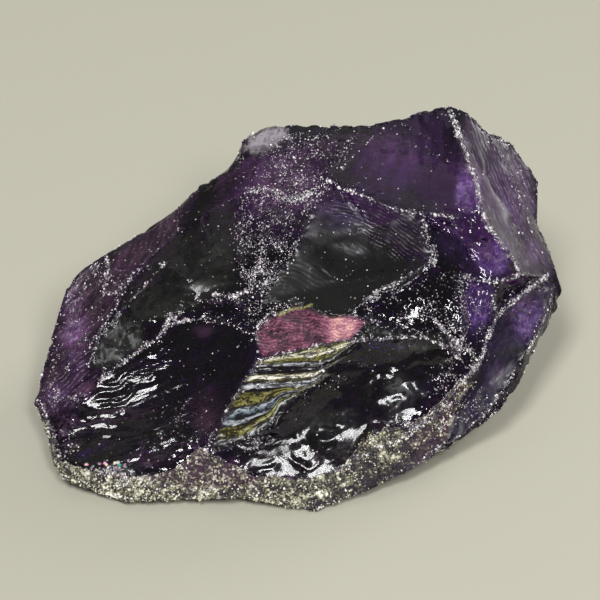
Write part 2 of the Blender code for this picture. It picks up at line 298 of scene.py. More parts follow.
# Lines of bright chips: strength, half width in view units and the line in the view
CHIP_LINES = [
    (1.0, 2.7, [(450, 109), (456, 130), (462, 145), (470, 165), (476, 180), (480, 200)]),
    (1.0, 2.2, [(480, 200), (484, 218), (492, 232), (503, 245), (512, 258), (519, 272)]),
    (1.0, 2.2, [(548, 275), (530, 288), (515, 300), (497, 317), (487, 340), (484, 355)]),
    (1.0, 2.7, [(484, 355), (475, 368), (465, 380), (455, 395), (445, 410), (440, 430)]),
    (0.8, 2.0, [(440, 430), (430, 455)]),
    (0.9, 1.2, [(432, 214), (440, 216), (458, 218)]),
    (0.9, 1.7, [(424, 216), (427, 232), (431, 250), (434, 265)]),
    (0.7, 1.8, [(364, 300), (380, 290), (400, 281), (418, 270), (430, 262)]),
    (0.8, 1.8, [(354, 341), (380, 339), (402, 337), (424, 337), (442, 345), (460, 358)]),
    (0.9, 1.8, [(434, 318), (446, 332), (460, 345), (470, 352)]),
    (0.9, 2.2, [(465, 277), (480, 281), (500, 281), (522, 275)]),
    (0.9, 2.0, [(495, 283), (493, 300), (498, 317)]),
    (0.6, 1.5, [(322, 178), (345, 190), (366, 196), (386, 208), (421, 213)]),
    (0.7, 1.5, [(244, 186), (256, 190), (262, 196), (262, 226)]),
    (1.0, 4.0, [(296, 199), (306, 197), (312, 192)]),
    (0.8, 4.0, [(244, 190), (262, 188), (284, 196), (300, 200)]),
    (0.5, 0.9, [(392, 116), (410, 128), (430, 140), (446, 142)]),
    (0.5, 0.9, [(404, 140), (430, 152), (458, 166)]),
    (0.5, 0.8, [(352, 184), (384, 178), (412, 190), (440, 205)]),
    (0.5, 0.9, [(330, 182), (352, 158), (372, 138), (400, 124)]),
    (0.5, 0.9, [(500, 150), (512, 178), (524, 206), (533, 236)]),
    (0.5, 0.9, [(486, 178), (500, 206), (520, 232), (538, 252)]),
    (0.9, 1.7, [(276, 166), (281, 170), (285, 166)]),
    (0.9, 2.0, [(107, 255), (108, 270), (103, 292), (112, 294), (122, 286), (132, 272)]),
    (0.7, 1.8, [(132, 272), (118, 302), (100, 330), (88, 345)]),
    (0.6, 1.5, [(88, 366), (101, 334), (121, 310), (141, 290), (165, 262)]),
    (0.9, 2.0, [(100, 381), (126, 360), (146, 346), (160, 336), (168, 325), (190, 320)]),
    (0.9, 2.5, [(166, 326), (172, 315), (176, 320)]),
    (0.5, 1.5, [(190, 320), (225, 322), (250, 335)]),
    (0.8, 1.5, [(214, 294), (232, 296), (250, 290)]),
    (0.6, 1.5, [(95, 424), (120, 411), (155, 396), (185, 384)]),
    (0.6, 1.8, [(190, 398), (181, 410), (176, 425)]),
    (0.9, 3.0, [(262, 362), (250, 374), (238, 392), (226, 412), (214, 432), (205, 452)]),
    (0.55, 1.4, [(256, 360), (275, 355), (300, 349), (325, 343), (345, 338)]),
    (0.5, 2.5, [(250, 345), (256, 326), (276, 307), (296, 298)]),
    (1.0, 3.8, [(465, 380), (440, 410), (420, 425), (400, 440), (370, 450), (345, 466)]),
    (0.8, 3.0, [(345, 466), (330, 480), (310, 484)]),
    (0.8, 2.2, [(38, 402), (44, 412), (52, 430), (60, 455)]),
    (0.25, 1.5, [(366, 128), (395, 120), (424, 112), (449, 107)]),
    (0.95, 7.0, [(98, 476), (112, 470), (130, 474), (122, 484)]),
    (0.9, 1.1, [
        (345, 496), (377, 482), (410, 467), (434, 450), (466, 432), (492, 406), (516, 370),
    ]),
    (1.0, 3.2, [(476, 422), (484, 416)]),
    (0.9, 4.0, [(450, 112), (455, 124), (459, 138)]),
    (0.7, 1.5, [(554, 286), (550, 305), (541, 326), (528, 352)]),
    (0.9, 2.6, [(433, 246), (435, 256), (434, 266)]),
    (0.4, 1.5, [(470, 114), (489, 134), (521, 152), (538, 182)]),
]

# Painted reflections inside the stacked steps, as colours from the top edge down: place from 0 to
# 1, and colour
STEP_REFLECTIONS = [
    (0.010, (0.010, 0.010, 0.008)), (0.045, (0.20, 0.19, 0.05)), (0.080, (0.70, 0.66, 0.42)),
    (0.115, (0.88, 0.83, 0.66)), (0.140, (0.20, 0.19, 0.04)), (0.185, (0.14, 0.13, 0.03)),
    (0.215, (0.01, 0.01, 0.01)), (0.240, (0.72, 0.73, 0.78)), (0.254, (0.30, 0.31, 0.34)),
    (0.266, (0.004, 0.004, 0.004)), (0.350, (0.012, 0.008, 0.014)),
    (0.362, (0.22, 0.21, 0.05)), (0.378, (0.90, 0.86, 0.70)), (0.412, (0.95, 0.90, 0.78)),
    (0.425, (0.20, 0.18, 0.05)), (0.455, (0.02, 0.02, 0.02)), (0.480, (0.55, 0.57, 0.62)),
    (0.498, (0.70, 0.72, 0.78)), (0.508, (0.006, 0.006, 0.006)),
    (0.522, (0.01, 0.01, 0.01)), (0.535, (0.17, 0.155, 0.04)), (0.580, (0.26, 0.24, 0.08)),
    (0.592, (0.01, 0.01, 0.01)), (0.603, (0.50, 0.55, 0.60)), (0.622, (0.14, 0.19, 0.22)),
    (0.640, (0.01, 0.01, 0.012)), (0.655, (0.42, 0.46, 0.50)),
    (0.672, (0.008, 0.008, 0.008)), (0.690, (0.25, 0.24, 0.06)),
    (0.722, (0.16, 0.15, 0.04)), (0.738, (0.55, 0.57, 0.60)), (0.752, (0.02, 0.02, 0.02)),
]

# Colours of the dust and veils, of the painted grey reflections and of the painted rainbow glints
DUST_TONES = [
    (0.30, (0.20, 0.15, 0.22)), (0.48, (0.45, 0.40, 0.42)),
    (0.62, (0.80, 0.78, 0.72)), (0.80, (0.95, 0.93, 0.86)),
]
REFLECTION_TONES = [
    (0.0, (0.005, 0.005, 0.005)), (0.35, (0.032, 0.033, 0.030)), (0.7, (0.13, 0.135, 0.135)),
    (1.0, (0.34, 0.35, 0.36)),
]
RAINBOW = [
    (0.15, (0.02, 0.42, 0.20)), (0.35, (0.85, 0.16, 0.62)), (0.55, (0.90, 0.52, 0.62)),
    (0.75, (0.10, 0.62, 0.62)), (0.95, (0.92, 0.62, 0.42)),
]

# Tones of the chips and of the grit, from the darkest grain to the brightest
CHIP_TONES = [
    (0.00, (0.02, 0.015, 0.03)), (0.36, (0.08, 0.06, 0.10)), (0.58, (0.36, 0.33, 0.38)),
    (0.70, (0.88, 0.87, 0.87)), (0.88, (1.0, 1.0, 0.98)), (0.94, (0.95, 0.66, 0.80)),
    (0.98, (1.0, 0.97, 0.92)),
]
GRIT_TONES = [
    (0.00, (0.015, 0.015, 0.012)), (0.34, (0.09, 0.085, 0.055)), (0.56, (0.30, 0.29, 0.18)),
    (0.76, (0.74, 0.70, 0.50)), (0.90, (1.0, 0.98, 0.86)), (1.00, (0.98, 0.86, 0.92)),
]

# Lamps: place and aim in metres, width and depth in metres, power in watts, colour
LAMPS = [
    ("overhead", (0.05, 0.32, 0.50), (0.0, 0.0, 0.005), (0.70, 0.70), 0.40, (1.0, 0.98, 0.95)),
    ("front_left", (-0.075, -0.17, 0.355), (0.0, 0.0, 0.0), (0.10, 0.13), 1.00, (1.0, 1.0, 1.0)),
    ("front_right", (0.095, -0.245, 0.30), (0.0, 0.0, 0.0), (0.085, 0.12), 0.72, (1.0, 1.0, 1.0)),
    ("back_right", (0.30, 0.28, 0.16), (0.0, 0.0, 0.005), (0.16, 0.16), 0.90, (1.0, 0.99, 0.97)),
]


class StoneSettings(bpy.types.PropertyGroup):
    """The stone's body."""

    refraction: bpy.props.FloatProperty(
        name="Refraction", description="Index of refraction of quartz",
        default=QUARTZ_REFRACTION, min=1.0,
    )
    absorb_colour: bpy.props.FloatVectorProperty(
        name="Body colour", description="Colour that the depth of the stone leaves",
        default=(0.54, 0.20, 0.66), subtype="COLOR", size=3, min=0.0, max=1.0,
    )
    absorb_density: bpy.props.FloatProperty(
        name="Depth of colour", description="Absorption for each metre of stone", default=500.0
    )
    ripple_gain: bpy.props.FloatProperty(
        name="Ripples", description="Height of the ripples on the scars", default=1.0
    )
    chipping: bpy.props.FloatProperty(
        name="Chipping", description="Depth of the nicks along the ridges",
        default=0.10 * MM, unit="LENGTH",
    )
    frost_colour: bpy.props.FloatVectorProperty(
        name="Frost", description="Colour of the crushed rim", default=(0.80, 0.77, 0.62),
        subtype="COLOR", size=3, min=0.0, max=1.0,
    )
    window_colour: bpy.props.FloatVectorProperty(
        name="Window", description="Rose colour where light comes through",
        default=(0.27, 0.080, 0.140), subtype="COLOR", size=3, min=0.0, max=1.0,
    )


class ChipSettings(bpy.types.PropertyGroup):
    """The loose-looking chips and grit."""

    chip_size: bpy.props.FloatProperty(
        name="Chip", description="Usual size of a ridge chip", default=0.034 * MM, unit="LENGTH"
    )
    chip_count: bpy.props.IntProperty(
        name="Ridge chips", description="How many chips line the ridges", default=14000
    )
    grit_size: bpy.props.FloatProperty(
        name="Grit", description="Usual size of a rim grain", default=0.06 * MM, unit="LENGTH"
    )
    grit_count: bpy.props.IntProperty(
        name="Rim grains", description="How many grains the rim has", default=7000
    )
    dust_size: bpy.props.FloatProperty(
        name="Dust", description="Usual size of a speck on a face", default=0.026 * MM,
        unit="LENGTH",
    )
    dust_count: bpy.props.IntProperty(
        name="Specks", description="How many specks lie on the faces", default=13000
    )


class StageSettings(bpy.types.PropertyGroup):
    """The floor and the light."""

    floor_size: bpy.props.FloatProperty(
        name="Floor", description="Side of the floor", default=1.2, unit="LENGTH"
    )
    floor_colour: bpy.props.FloatVectorProperty(
        name="Floor colour", description="Colour of the plain floor",
        default=(0.475, 0.461, 0.381), subtype="COLOR", size=3, min=0.0, max=1.0,
    )
    sky_strength: bpy.props.FloatProperty(
        name="Room light", description="Brightness of the light from all round", default=0.17
    )


class Graph:
    """The nodes of one material."""

    def __init__(self, name):
        self.material = bpy.data.materials.new(name)
        self.material.use_nodes = True
        self.tree = self.material.node_tree
        self.tree.nodes.clear()
        self.painted = {}

    def node(self, kind, settings=None, inputs=None):
        """Adds a node: its settings first, then the values or links of its sockets."""
        made = self.tree.nodes.new(kind)
        for name, value in (settings or {}).items():
            if name == "stops":
                self.set_stops(made.color_ramp, value)
            else:
                setattr(made, name, value)
        for name, value in (inputs or {}).items():
            self.feed(made.inputs[name], value)
        return made

    def set_stops(self, ramp, stops):
        """Gives a colour ramp its stops."""
        while len(ramp.elements) < len(stops):
            ramp.elements.new(1.0)
        for element, (place, colour) in zip(ramp.elements, stops):
            element.position = place
            element.color = (*colour, 1.0)

    def feed(self, socket, value):
        """Links a socket, or sets its value."""
        if isinstance(value, Number):
            value = value.socket
        if isinstance(value, bpy.types.NodeSocket):
            self.tree.links.new(value, socket)
        elif hasattr(value, "__len__") and socket.type == "RGBA":
            socket.default_value = (*value[:3], 1.0)
        else:
            socket.default_value = value

    def math(self, operation, *values):
        """The result of one Math node."""
        made = self.node("ShaderNodeMath", {"operation": operation}, dict(enumerate(values)))
        return Number(self, made.outputs["Value"])

    def attribute(self, name):
        """A number painted on the mesh, read by one node however often it is used."""
        if name not in self.painted:
            made = self.node("ShaderNodeAttribute", {"attribute_name": name})
            self.painted[name] = Number(self, made.outputs["Fac"])
        return self.painted[name]

    def place(self):
        """Where the surface point lies."""
        return self.node("ShaderNodeTexCoord").outputs["Object"]

    def vector(self, *parts):
        """Three numbers as one vector."""
        return self.node("ShaderNodeCombineXYZ", None, dict(enumerate(parts))).outputs["Vector"]

    def noise(self, where, size, detail=3.0, rough=0.55, twist=0.0):
        """Cloudy noise with lumps of a size in metres."""
        sockets = {"Vector": where, "Scale": 1.0 / size, "Detail": detail}
        sockets.update({"Roughness": rough, "Distortion": twist})
        made = self.node("ShaderNodeTexNoise", None, sockets)
        return Number(self, made.outputs["Fac"])

    def cells(self, where, size):
        """Distance to the nearest of points scattered a size in metres apart, and its pick."""
        made = self.node("ShaderNodeTexVoronoi", None, {"Vector": where, "Scale": 1.0 / size})
        pick = self.node("ShaderNodeSeparateColor", None, {"Color": made.outputs["Color"]})
        return Number(self, made.outputs["Distance"]), Number(self, pick.outputs["Red"])

    def mix(self, factor, first, second):
        """A colour between two."""
        settings = {"data_type": "RGBA", "clamp_factor": True}
        made = self.node("ShaderNodeMix", settings, {0: factor, 6: first, 7: second})
        return made.outputs[2]

    def ramp(self, factor, stops):
        """A colour read along a ramp."""
        return self.node("ShaderNodeValToRGB", {"stops": stops}, {"Fac": factor}).outputs["Color"]

    def relief(self, strength, distance, height):
        """A normal that follows fine heights."""
        sockets = {"Strength": strength, "Distance": distance, "Height": height}
        return self.node("ShaderNodeBump", None, sockets).outputs["Normal"]

    def shader(self, sockets):
        """A Principled shader."""
        return self.node("ShaderNodeBsdfPrincipled", None, sockets).outputs["BSDF"]

    def finished(self, surface, **volume):
        """The material, with its surface and its inside linked to the output."""
        self.node("ShaderNodeOutputMaterial", None, {"Surface": surface, **volume})
        return self.material


class Number:
    """A number socket: an expression on it adds its Math nodes."""

    def __init__(self, graph, socket):
        self.graph = graph
        self.socket = socket

    def __add__(self, other):
        return self.graph.math("ADD", self, other)

    def __radd__(self, other):
        return self.graph.math("ADD", other, self)

    def __sub__(self, other):
        return self.graph.math("SUBTRACT", self, other)

    def __rsub__(self, other):
        return self.graph.math("SUBTRACT", other, self)

    def __mul__(self, other):
        return self.graph.math("MULTIPLY", self, other)

    def __rmul__(self, other):
        return self.graph.math("MULTIPLY", other, self)

    def __pow__(self, other):
        return self.graph.math("POWER", self, other)

    def __abs__(self):
        return self.graph.math("ABSOLUTE", self)

    def wave(self):
        """A sine wave that repeats whenever the number grows by 1."""
        return self.graph.math("SINE", self * TURN)

    def most(self, other):
        """The larger of two numbers."""
        return self.graph.math("MAXIMUM", self, other)

    def clamped(self):
        """The number kept between 0 and 1."""
        return self.graph.math("MINIMUM", self.most(0.0), 1.0)

    def step(self, start, end):
        """0 before start, 1 past end, and smooth between."""
        sockets = {0: self, 1: start, 2: end, 3: 0.0, 4: 1.0}
        made = self.graph.node("ShaderNodeMapRange", {"interpolation_type": "SMOOTHSTEP"}, sockets)
        return Number(self.graph, made.outputs[0])


def view_axes():
    """The view's eye, and its directions to the right, up and forward."""
    forward = Vector((0.0, math.cos(VIEW_ELEVATION), -math.sin(VIEW_ELEVATION)))
    upward = Vector((0.0, math.sin(VIEW_ELEVATION), math.cos(VIEW_ELEVATION)))
    eye = VIEW_AIM - forward * VIEW_DISTANCE
    return eye, Vector((1.0, 0.0, 0.0)), upward, forward


def seen(points):
    """Where points show in the view: across and down for each."""
    eye, right, upward, forward = (np.array(axis) for axis in view_axes())
    away = points - eye
    depth = away @ forward / VIEW_DISTANCE * VIEW_UNIT
    return np.stack([VIEW_CENTRE + away @ right / depth, VIEW_CENTRE - away @ upward / depth], 1)


def smooth_step(values, start, end):
    """0 before start, 1 past end, and smooth between."""
    share = np.clip((values - start) / (end - start), 0.0, 1.0)
    return share * share * (3.0 - 2.0 * share)


def line_gap(places, line):
    """How far each place lies from a line of points in the view."""
    line = np.array(line, float)
    nearest = np.full(len(places), 1e9)
    for start, end in zip(line[:-1], line[1:]):
        side = end - start
        share = np.clip((places - start) @ side / (side @ side), 0.0, 1.0)
        nearest = np.minimum(nearest, np.hypot(*(places - start - share[:, None] * side).T))
    return nearest


def outline_mask(places, outline, feather):
    """1 within an outline in the view, falling to 0 from a feather inside it to one outside."""
    line = np.array([*outline, outline[0]], float)
    inside = np.zeros(len(places), bool)
    for start, end in zip(line[:-1], line[1:]):
        side = end - start
        crosses = (start[1] > places[:, 1]) != (end[1] > places[:, 1])
        slope = (places[:, 1] - start[1]) / (side[1] if side[1] else 1e-9)
        inside ^= crosses & (places[:, 0] < start[0] + slope * side[0])
    nearest = line_gap(places, line)
    return smooth_step(np.where(inside, nearest, -nearest), -feather, feather)


def cloud(points, size, seed, octaves=3):
    """Smooth noise from 0 to 1 at each point, with lumps of a size in metres."""
    shift = Vector((seed * 3.17, seed * 1.31, seed * 2.23))
    values = [
        noise.fractal(Vector(point) + shift, 1.0, 2.0, octaves, noise_basis="PERLIN_ORIGINAL")
        for point in points / size
    ]
    return np.clip(np.array(values) * 0.5 + 0.5, 0.0, 1.0)


def nearest_gaps(points, targets):
    """How far each point lies from the nearest target."""
    tree = kdtree.KDTree(len(targets))
    for index, target in enumerate(targets):
        tree.insert(target, index)
    tree.balance()
    return np.array([tree.find(point)[2] for point in points])


def ridge_samples(stone):
    """Points along every sharp edge of the solid."""
    samples = []
    for edge in stone.edges:
        if not edge.is_manifold or edge.calc_face_angle() < RIDGE_ANGLE:
            continue
        start, end = (vert.co for vert in edge.verts)
        count = max(1, round((end - start).length / RIDGE_SAMPLE))
        samples.extend(start.lerp(end, index / count) for index in range(count + 1))
    return samples


def solid_copy():
    """The solid's surface as a joined mesh, in world space."""
    stone = bmesh.new()
    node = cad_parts[NODE]
    stone.from_mesh(node.data)
    stone.transform(node.matrix_world)
    bmesh.ops.remove_doubles(stone, verts=stone.verts[:], dist=0.001 * MM)
    return stone


def refine(stone):
    """Divides each face of the solid into 16."""
    for _ in range(2):
        bmesh.ops.subdivide_edges(stone, edges=stone.edges[:], cuts=1, use_grid_fill=True)
    bmesh.ops.triangulate(stone, faces=[face for face in stone.faces if len(face.verts) > 3])
    stone.normal_update()


class Surface:
    """The fine surface of the stone as arrays: places, normals, and what marks each point."""

    def __init__(self, stone, ridges):
        self.stone = stone
        self.read()
        self.ridge_gap = nearest_gaps(self.points, ridges)
        self.marks = {}

    def read(self):
        """Takes the places and normals from the mesh."""
        self.stone.normal_update()
        self.points = np.array([vert.co for vert in self.stone.verts])
        self.normals = np.array([vert.normal for vert in self.stone.verts])
        self.places = seen(self.points)
        eye = np.array(view_axes()[0])
        towards = eye - self.points
        towards /= np.linalg.norm(towards, axis=1)[:, None]
        self.facing = smooth_step((self.normals * towards).sum(1), 0.0, 0.25)

    def region(self, name, feather):
        """A region's mask, only where the surface faces the view."""
        return outline_mask(self.places, REGIONS[name], feather) * self.facing

    def near_ridge(self, reach):
        """1 on a ridge, falling to 0 at a reach from it."""
        return 1.0 - smooth_step(self.ridge_gap, 0.0, reach)

    def push(self, heights):
        """Moves every point along its normal. The resting face keeps its place."""
        lift = smooth_step(self.points[:, 2], 0.02 * MM, 0.25 * MM)
        moved = self.points + self.normals * (heights * lift)[:, None]
        self.points = np.clip(moved, CAD_LOW, CAD_HIGH)
        for vert, point in zip(self.stone.verts, self.points):
            vert.co = point
        self.read()

    def relax(self, reach):
        """Evens out the facets between the ridges."""
        calm = [
            vert for vert, gap, point in zip(self.stone.verts, self.ridge_gap, self.points)
            if gap > reach and point[2] > 0.05 * MM
        ]
        for _ in range(3):
            bmesh.ops.smooth_vert(
                self.stone, verts=calm, factor=0.5, use_axis_x=True, use_axis_y=True,
                use_axis_z=True,
            )
        self.read()


def spot_gap(surface, middle, reach):
    """How far each place lies from a spot's middle, as a share of its reach."""
    return np.hypot(*((surface.places - np.array(middle)) / np.array(reach)).T)


def spots(surface, table):
    """The strongest of a table's soft round spots at each point."""
    values = np.zeros(len(surface.points))
    for middle, reach, strength in table:
        gap = spot_gap(surface, middle, reach)
        values = np.maximum(values, strength * (1.0 - smooth_step(gap, 0.2, 1.0)))
    return values * surface.facing


def ring_reach(surface, middle):
    """How far each place lies from the middle of its rings, in metres."""
    return spot_gap(surface, middle, 1.0) * VIEW_UNIT


def step_bands(places):
    """How far down the stack each point lies: 0 at its top, and a quarter more for each step."""
    across, down = places.T
    edges = [np.interp(across, *np.array(line, float).T) for line in STEP_EDGES]
    bands = np.full(len(places), -1.0)
    for index, (top, foot) in enumerate(zip(edges[:-1], edges[1:])):
        share = (down - top) / np.maximum(foot - top, 1.0)
        bands = np.where(down >= top, index + np.clip(share, 0.0, 1.0), bands)
    beyond = np.clip((down - edges[-1]) / 20.0, 0.0, 1.0)
    return np.where(down > edges[-1], 3.0 + beyond, bands) / 4.0


def mark_regions(surface):
    """Paints where the stone is chipped, sugary, speckled, rose and so on, on every side."""
    points = surface.points
    hidden = 1.0 - surface.facing
    broad = cloud(points, 4.0 * MM, 3)
    patchy = cloud(points, 1.2 * MM, 5)
    clumps = smooth_step(cloud(points, 0.5 * MM, 37, 4), 0.42, 0.62)
    mark_ridges(surface, hidden, patchy, clumps)
    mark_rim(surface, hidden, patchy, clumps)
    mark_grain(surface, hidden, broad)
    mark_window_and_steps(surface)
    mark_tint_and_glow(surface, hidden)
    mark_reflection_and_satin(surface, hidden, broad)
    mark_fine_ripples(surface, hidden)


def mark_ridges(surface, hidden, patchy, clumps):
    """Paints the chipped ridges: the drawn lines, and every sharp edge more weakly."""
    fine = cloud(surface.points, 0.35 * MM, 7, 4)
    lined = np.zeros(len(surface.points))
    for strength, width, line in CHIP_LINES:
        gap = line_gap(surface.places, line)
        lined = np.maximum(lined, strength * (1.0 - smooth_step(gap, 0.3 * width, 1.3 * width)))
    edges = surface.near_ridge(CHIP_REACH) * (0.26 + 0.22 * hidden)
    ridge = np.maximum(
        lined * surface.facing * (0.55 + 0.45 * smooth_step(fine, 0.35, 0.6)),
        edges * smooth_step(patchy + 0.25 * fine, 0.50, 0.78),
    )
    surface.marks["ridge"] = ridge
    surface.marks["chips"] = (ridge > 0.25) * ridge ** 2 * (0.25 + 0.75 * clumps)


def mark_rim(surface, hidden, patchy, clumps):
    """Paints the sugary rim: its crust, the dim and plum places, the painted rainbow glints, and
    its grains.
    """
    marks = surface.marks
    across = surface.places[:, 0]
    low = 1.0 - smooth_step(surface.points[:, 2], *FAR_CRUST)
    far_rim = hidden * low * smooth_step(patchy, 0.40, 0.60)
    marks["rim"] = np.maximum(surface.region("rim", 5.0), far_rim)
    fading = 0.5 * smooth_step(across, *DIM_SPAN) * surface.facing
    marks["dim"] = np.clip(0.9 * surface.region("dim_rim", 5.0) + fading, 0.0, 1.0)
    far_plum = 0.6 * smooth_step(across, *PLUM_SPAN) * surface.facing
    marks["plum"] = np.maximum(surface.region("plum", 12.0), far_plum)
    marks["fire"] = spots(surface, RAINBOW_GLINT_SPOTS)
    spill = np.maximum(surface.region("rim", 18.0) ** 2 * 0.5, far_rim)
    marks["grit"] = np.maximum(marks["rim"] ** 2, spill) * (0.12 + 0.88 * clumps)
    marks["grit"] *= (1.0 - 0.85 * marks["dim"]) * (1.0 - 0.65 * marks["plum"])


def mark_grain(surface, hidden, broad):
    """Paints the speckled, frosted and dusty places."""
    marks = surface.marks
    sparse = 0.35 + 0.65 * smooth_step(cloud(surface.points, 0.7 * MM, 33, 4), 0.36, 0.60)
    speckles = (
        spots(surface, GRAIN_SPOTS) + 1.2 * surface.region("sugar", 12.0)
        + 0.50 * surface.region("speckled", 10.0) + 0.8 * surface.region("foot", 6.0)
        + 0.35 * surface.region("side", 8.0) + 0.6 * hidden * smooth_step(broad, 0.52, 0.66)
    )
    marks["grain"] = sparse * np.clip(speckles, 0.0, 1.0)
    dust = 0.20 + 0.80 * marks["grain"] + 0.3 * surface.near_ridge(CHIP_REACH)
    marks["dust"] = np.clip(dust, 0.0, 1.0)
    marks["pale"] = surface.region("pale", 9.0)
    shelf = surface.region("shelf", 8.0) + 0.45 * surface.region("shoulder", 8.0)
    marks["shelf"] = np.clip(shelf, 0.0, 1.0)


def mark_window_and_steps(surface):
    """Paints the rose window of painted light with its glow, and the olive thread and the stacked
    steps, which are painted reflections.
    """
    marks = surface.marks
    marks["window"] = surface.region("window", 2.5)
    marks["glow"] = 1.0 - smooth_step(spot_gap(surface, *GLOW), 0.3, 1.0)
    thread_gap = line_gap(surface.places, THREAD)
    marks["thread"] = (1.0 - smooth_step(thread_gap, 0.8, 2.4)) * surface.facing
    marks["steps"] = surface.region("steps", 2.5)
    marks["band"] = step_bands(surface.places)
    marks["column"], marks["row"] = surface.places.T.copy()


def mark_tint_and_glow(surface, hidden):
    """Paints the violet places, brighter where light shining through is painted, and the reddish
    ones.
    """
    violet = (
        0.35 * surface.region("violet", 12.0) + 0.30 * surface.region("flank", 8.0)
        + 0.25 * surface.region("crown", 12.0) + 0.26 * surface.region("shoulder", 8.0)
        + 0.25 * hidden + spots(surface, LIT_VIOLET_SPOTS)
    )
    wine = (
        0.8 * surface.region("side", 8.0) + 0.5 * surface.region("shelf", 8.0)
        + 0.26 * surface.region("crown", 8.0) + 0.50 * surface.region("shoulder", 6.0)
    )
    surface.marks["violet"] = np.clip(violet, 0.0, 1.0)
    surface.marks["wine"] = np.maximum(np.clip(wine, 0.0, 1.0), spots(surface, WINE_SPOTS))


def mark_reflection_and_satin(surface, hidden, broad):
    """Paints where grey reflections are painted on, and how satin the surface is."""
    marks = surface.marks
    smoke, pale = np.zeros((2, len(surface.points)))
    for paleness, thickness, outline in PAINTED_REFLECTIONS:
        cover = outline_mask(surface.places, outline, 7.0) * surface.facing
        smoke = np.maximum(smoke, cover * thickness)
        pale = np.maximum(pale, cover * paleness)
    marks["smoke"] = np.maximum(smoke, 0.35 * hidden * smooth_step(broad, 0.35, 0.55))
    marks["smoke_pale"] = pale
    scoop = surface.region("scoop", 4.0)
    cove = surface.region("cove", 4.0)
    satin = (
        0.9 * surface.region("flank", 8.0) + surface.region("shoulder", 8.0)
        + 0.5 * surface.region("side", 8.0) + 0.7 * surface.region("bowl", 10.0)
        + surface.region("window", 4.0) + 0.8 * pale
        + 0.55 * hidden * smooth_step(broad, 0.42, 0.60) + 0.7 * spots(surface, SATIN_SPOTS)
    )
    satin = np.clip(satin, 0.0, 1.4) * (1.0 - 0.9 * scoop) * (1.0 - cove)
    marks["satin"] = satin + 0.20 * scoop + 0.09 * cove


def mark_fine_ripples(surface, hidden):
    """Paints how many fine waves each point lies from the middle of its rings, and how bright the
    painted highlights on their crests are.
    """
    waves = np.linalg.norm(surface.points - FAR_RINGS, axis=1) / FAR_FINE_PITCH
    strength = 0.5 * hidden
    crests = 0.25 * hidden
    for region, middle, _, _, pitch, share, paleness in RIPPLES:
        mask = surface.region(region, 8.0) * share
        chosen = mask > strength
        waves = np.where(chosen, ring_reach(surface, middle) / (pitch * MM), waves)
        crests = np.where(chosen, mask * paleness, crests)
        strength = np.maximum(strength, mask)
    surface.marks["waves"] = waves
    surface.marks["ringed"] = strength
    surface.marks["crests"] = crests


def ripples(surface, calm):
    """Heights of the broad ripples that spread over the scars and over the far side."""
    points = surface.points
    heights = np.zeros(len(points))
    wander = (cloud(points, 1.8 * MM, 11) - 0.5) * 1.6
    fade = smooth_step(cloud(points, 2.0 * MM, 13), 0.35, 0.6)
    for region, middle, pitch, height, _, _, _ in RIPPLES:
        wave = np.sin(TURN * (ring_reach(surface, middle) / (pitch * MM) + wander))
        heights += surface.region(region, 10.0) * fade * calm * wave * height * MM
    reach = np.linalg.norm(points - FAR_RINGS, axis=1) / FAR_PITCH
    wave = np.sin(TURN * (reach + cloud(points, 2.4 * MM, 17) * 1.2))
    return heights + (1.0 - surface.facing) * calm * wave * FAR_HEIGHT


def ledges(surface):
    """Heights of the stacked steps, each with three fine ribs."""
    stair = np.clip(surface.marks["band"], 0.0, 0.75) * 4.0
    ledge = (stair - np.floor(stair)) - 0.5
    return surface.marks["steps"] * (ledge * 0.14 + np.sin(stair * TURN * 3.0) * 0.02) * MM


def sculpt(surface, settings):
    """Ripples, swells, pits, ledges and nicks, in that order."""
    points = surface.points
    rim = surface.marks["rim"]
    grain = surface.marks["grain"]
    calm = smooth_step(surface.ridge_gap, 0.05 * MM, 0.6 * MM)
    heights = ripples(surface, calm) * settings.ripple_gain
    swell = (cloud(points, 1.5 * MM, 19) - 0.5) * 0.10 * MM
    scars = np.maximum(surface.region("scoop", 10.0), surface.region("cove", 10.0))
    steady = np.maximum(0.7 * surface.marks["window"], 0.6 * scars)
    steady = np.maximum(steady, 0.7 * (1.0 - surface.facing))
    heights += swell * calm * (1.0 - steady)
    heights += (cloud(points, 0.28 * MM, 23, 4) - 0.62) * 0.16 * MM * np.maximum(grain * 0.8, rim)
    heights += (cloud(points, 0.8 * MM, 25) - 0.55) * 0.30 * MM * rim
    heights += (cloud(points, 0.5 * MM, 27) - 0.5) * 0.10 * MM * grain
    heights += ledges(surface)
    near = surface.near_ridge(0.35 * MM)
    nicks = smooth_step(cloud(points, 0.45 * MM, 29, 3), 0.50, 0.72)
    heights -= near * nicks * settings.chipping
    heights -= near * (cloud(points, 0.16 * MM, 31, 2) - 0.4) * 0.35 * settings.chipping
    surface.push(heights)


